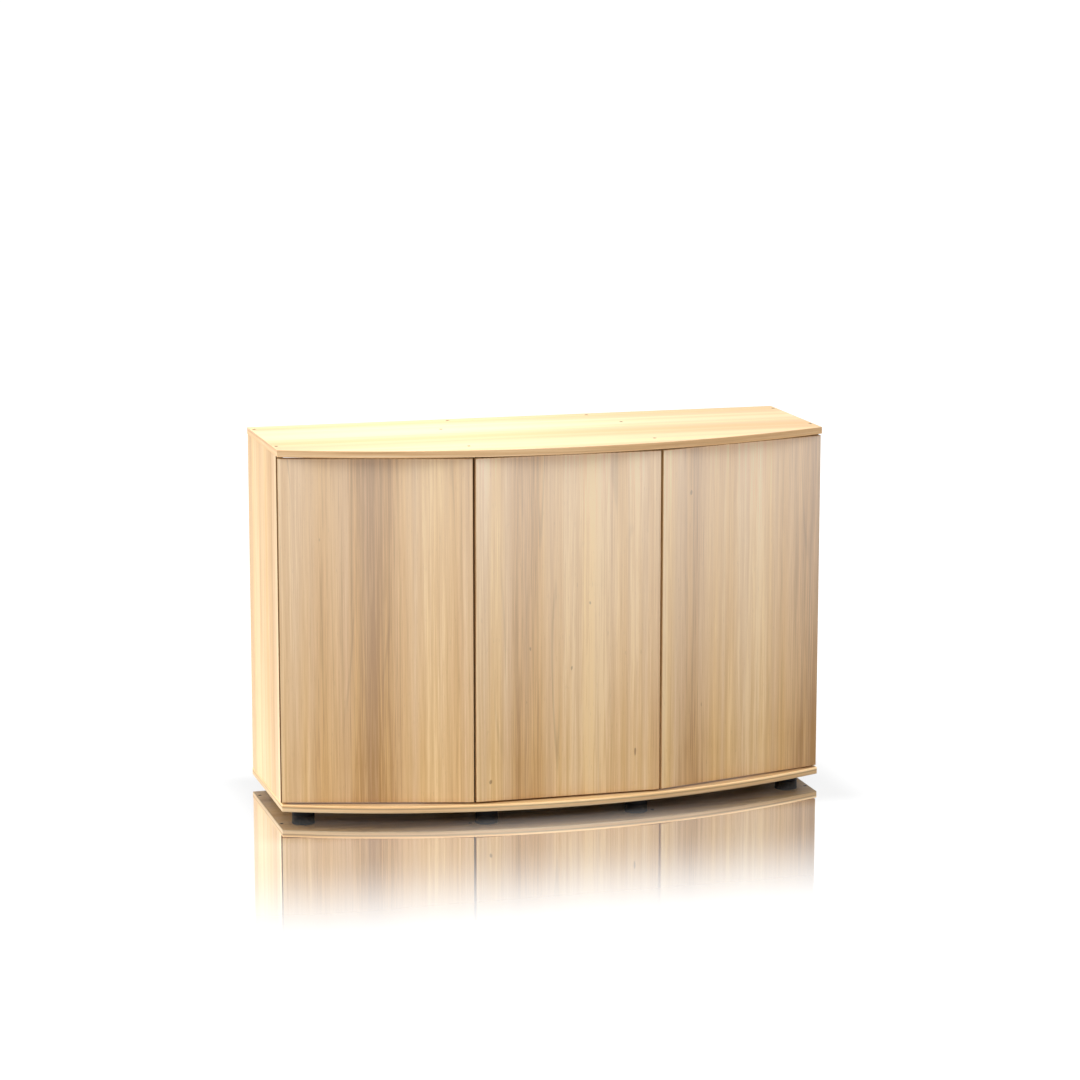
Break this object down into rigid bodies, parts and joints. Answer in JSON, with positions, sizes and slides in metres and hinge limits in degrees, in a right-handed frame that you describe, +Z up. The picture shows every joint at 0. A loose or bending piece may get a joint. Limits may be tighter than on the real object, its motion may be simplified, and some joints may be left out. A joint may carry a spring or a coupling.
{
  "type": "bow-front aquarium stand",
  "caption": "Bow-fronted wooden aquarium stand on low round feet, with flat push-to-open doors on concealed hinges, shelves and an open back for hoses.",
  "frame": {"origin": "middle of the outline at floor level, under the feet", "axes": "+X to the right along the width, +Y from the bowed front to the straight back, +Z up"},
  "size_m": [1.21, 0.46, 0.8],
  "materials": {
    "beech": "bare turned beech",
    "black_plastic": "moulded black plastic",
    "bronzed_steel": "bronzed steel",
    "door_laminate": "satin melamine laminate, upright light walnut grain",
    "grey_plastic": "moulded grey plastic",
    "nickel_steel": "nickel-plated pressed steel",
    "white_plastic": "moulded pale plastic",
    "wood_edging": "satin edging strip, matching grain",
    "wood_laminate": "satin melamine laminate, light oak grain",
    "zinc_steel": "zinc-plated steel"
  },
  "bodies": {
    "cabinet": {"back_panel": "wood_laminate", "bottom_board": "wood_laminate", "bottom_board_edging": "wood_edging", "bottom_dowels": "beech", "bottom_screws": "bronzed_steel", "foot_front_left": "black_plastic", "foot_front_mid_left": "black_plastic", "foot_front_mid_right": "black_plastic", "foot_front_right": "black_plastic", "foot_rear_left": "black_plastic", "foot_rear_mid_left": "black_plastic", "foot_rear_mid_right": "black_plastic", "foot_rear_right": "black_plastic", "foot_screws": "zinc_steel", "hinge_arms_left": "nickel_steel", "hinge_arms_middle": "nickel_steel", "hinge_arms_right": "nickel_steel", "hinge_plates_left": "nickel_steel", "hinge_plates_middle": "nickel_steel", "hinge_plates_right": "nickel_steel", "hinge_screws_and_arm_pins_left": "zinc_steel", "hinge_screws_and_arm_pins_middle": "zinc_steel", "hinge_screws_and_arm_pins_right": "zinc_steel", "latch_housing_left": "grey_plastic", "latch_housing_middle": "grey_plastic", "latch_housing_right": "grey_plastic", "latch_screws": "zinc_steel", "partition_left": "wood_laminate", "partition_right": "wood_laminate", "shelf_left": "wood_laminate", "shelf_pins": "zinc_steel", "shelf_right": "wood_laminate", "side_panel_left": "wood_laminate", "side_panel_right": "wood_laminate", "top_board": "wood_laminate", "top_board_edging": "wood_edging", "top_dowels": "beech", "top_screws": "bronzed_steel", "upright_edgings": "wood_edging"},
    "door_left": {"cup_pins_left": "zinc_steel", "cup_screws_left": "zinc_steel", "door_left": "door_laminate", "door_left_edging": "wood_edging", "hinge_cups_left": "nickel_steel"},
    "hinge_links_left": {"hinge_links_left": "nickel_steel"},
    "latch_plunger_left": {"latch_plunger_left": "white_plastic"},
    "door_middle": {"cup_pins_middle": "zinc_steel", "cup_screws_middle": "zinc_steel", "door_middle": "door_laminate", "door_middle_edging": "wood_edging", "hinge_cups_middle": "nickel_steel"},
    "hinge_links_middle": {"hinge_links_middle": "nickel_steel"},
    "latch_plunger_middle": {"latch_plunger_middle": "white_plastic"},
    "door_right": {"cup_pins_right": "zinc_steel", "cup_screws_right": "zinc_steel", "door_right": "door_laminate", "door_right_edging": "wood_edging", "hinge_cups_right": "nickel_steel"},
    "hinge_links_right": {"hinge_links_right": "nickel_steel"},
    "latch_plunger_right": {"latch_plunger_right": "white_plastic"}
  },
  "joints": [
    {"name": "hinge_link_left_turn", "type": "hinge", "parent": "cabinet", "child": "hinge_links_left", "pos_m": [-0.569, -0.097, 0.41], "axis": [0, 0, 1], "range_deg": [0, 50]},
    {"name": "door_left_swing", "type": "hinge", "parent": "hinge_links_left", "child": "door_left", "pos_m": [-0.58971, -0.08887, 0.41], "axis": [0, 0, -1], "range_deg": [0, 150]},
    {"name": "hinge_link_middle_turn", "type": "hinge", "parent": "cabinet", "child": "hinge_links_middle", "pos_m": [-0.17225, -0.2, 0.41], "axis": [0, 0, 1], "range_deg": [0, 30]},
    {"name": "door_middle_swing", "type": "hinge", "parent": "hinge_links_middle", "child": "door_middle", "pos_m": [-0.191, -0.199, 0.41], "axis": [0, 0, -1], "range_deg": [0, 130]},
    {"name": "hinge_link_right_turn", "type": "hinge", "parent": "cabinet", "child": "hinge_links_right", "pos_m": [0.569, -0.097, 0.41], "axis": [0, 0, -1], "range_deg": [0, 50]},
    {"name": "door_right_swing", "type": "hinge", "parent": "hinge_links_right", "child": "door_right", "pos_m": [0.58971, -0.08887, 0.41], "axis": [0, 0, 1], "range_deg": [0, 150]},
    {"name": "latch_plunger_left_press", "type": "slide", "parent": "cabinet", "child": "latch_plunger_left", "axis": [0, 1, 0], "range_m": [0, 0.003], "stiffness_N_per_m": 400, "springref_m": -0.004},
    {"name": "latch_plunger_middle_press", "type": "slide", "parent": "cabinet", "child": "latch_plunger_middle", "axis": [0, 1, 0], "range_m": [0, 0.003], "stiffness_N_per_m": 400, "springref_m": -0.004},
    {"name": "latch_plunger_right_press", "type": "slide", "parent": "cabinet", "child": "latch_plunger_right", "axis": [0, 1, 0], "range_m": [0, 0.003], "stiffness_N_per_m": 400, "springref_m": -0.004}
  ],
  "couplings": [
    {"joint": "hinge_link_left_turn", "follows": "door_left_swing", "ratio": 0.33333},
    {"joint": "hinge_link_middle_turn", "follows": "door_middle_swing", "ratio": 0.23077},
    {"joint": "hinge_link_right_turn", "follows": "door_right_swing", "ratio": 0.33333}
  ]
}
